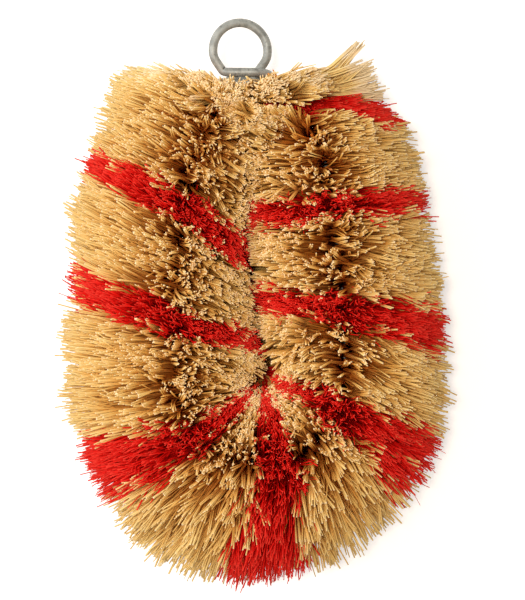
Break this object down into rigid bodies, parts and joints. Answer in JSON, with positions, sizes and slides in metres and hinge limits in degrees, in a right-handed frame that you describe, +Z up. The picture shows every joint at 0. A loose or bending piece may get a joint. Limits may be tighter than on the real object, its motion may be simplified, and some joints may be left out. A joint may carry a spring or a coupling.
{
  "type": "vegetable brush",
  "caption": "Hand-held scrubbing brush of stiff plant fibre in natural and red bands, held by twisted wire that is bent round into a loop and ends in an eye to hang it by.",
  "frame": {"origin": "under the middle of the brush's box, on the surface that the brush lies on", "axes": "+Y along the loop towards the hanging eye, +Z up out of the surface that the brush lies on, +X to the right as seen from above"},
  "size_m": [0.0948, 0.1395, 0.0545],
  "materials": {
    "wire": "dull hot-galvanised, a little scuffed",
    "natural_fibre": "undyed stiff plant fibre, dry, slightly glossy along the strand",
    "red_fibre": "stiff plant fibre dyed bright red, dry"
  },
  "bodies": {
    "root": {"hanging_eye": "wire", "neck_binding": "wire", "stem_wire_a": "wire", "stem_wire_b": "wire", "natural_fibre_1": "natural_fibre", "natural_fibre_2": "natural_fibre", "natural_fibre_3": "natural_fibre", "natural_fibre_4": "natural_fibre", "natural_fibre_5": "natural_fibre", "natural_fibre_6": "natural_fibre", "natural_fibre_7": "natural_fibre", "natural_fibre_8": "natural_fibre", "natural_fibre_9": "natural_fibre", "red_fibre_1": "red_fibre", "red_fibre_2": "red_fibre", "red_fibre_3": "red_fibre", "red_fibre_4": "red_fibre", "red_fibre_5": "red_fibre", "red_fibre_6": "red_fibre", "red_fibre_7": "red_fibre", "red_fibre_8": "red_fibre"}
  },
  "joints": []
}
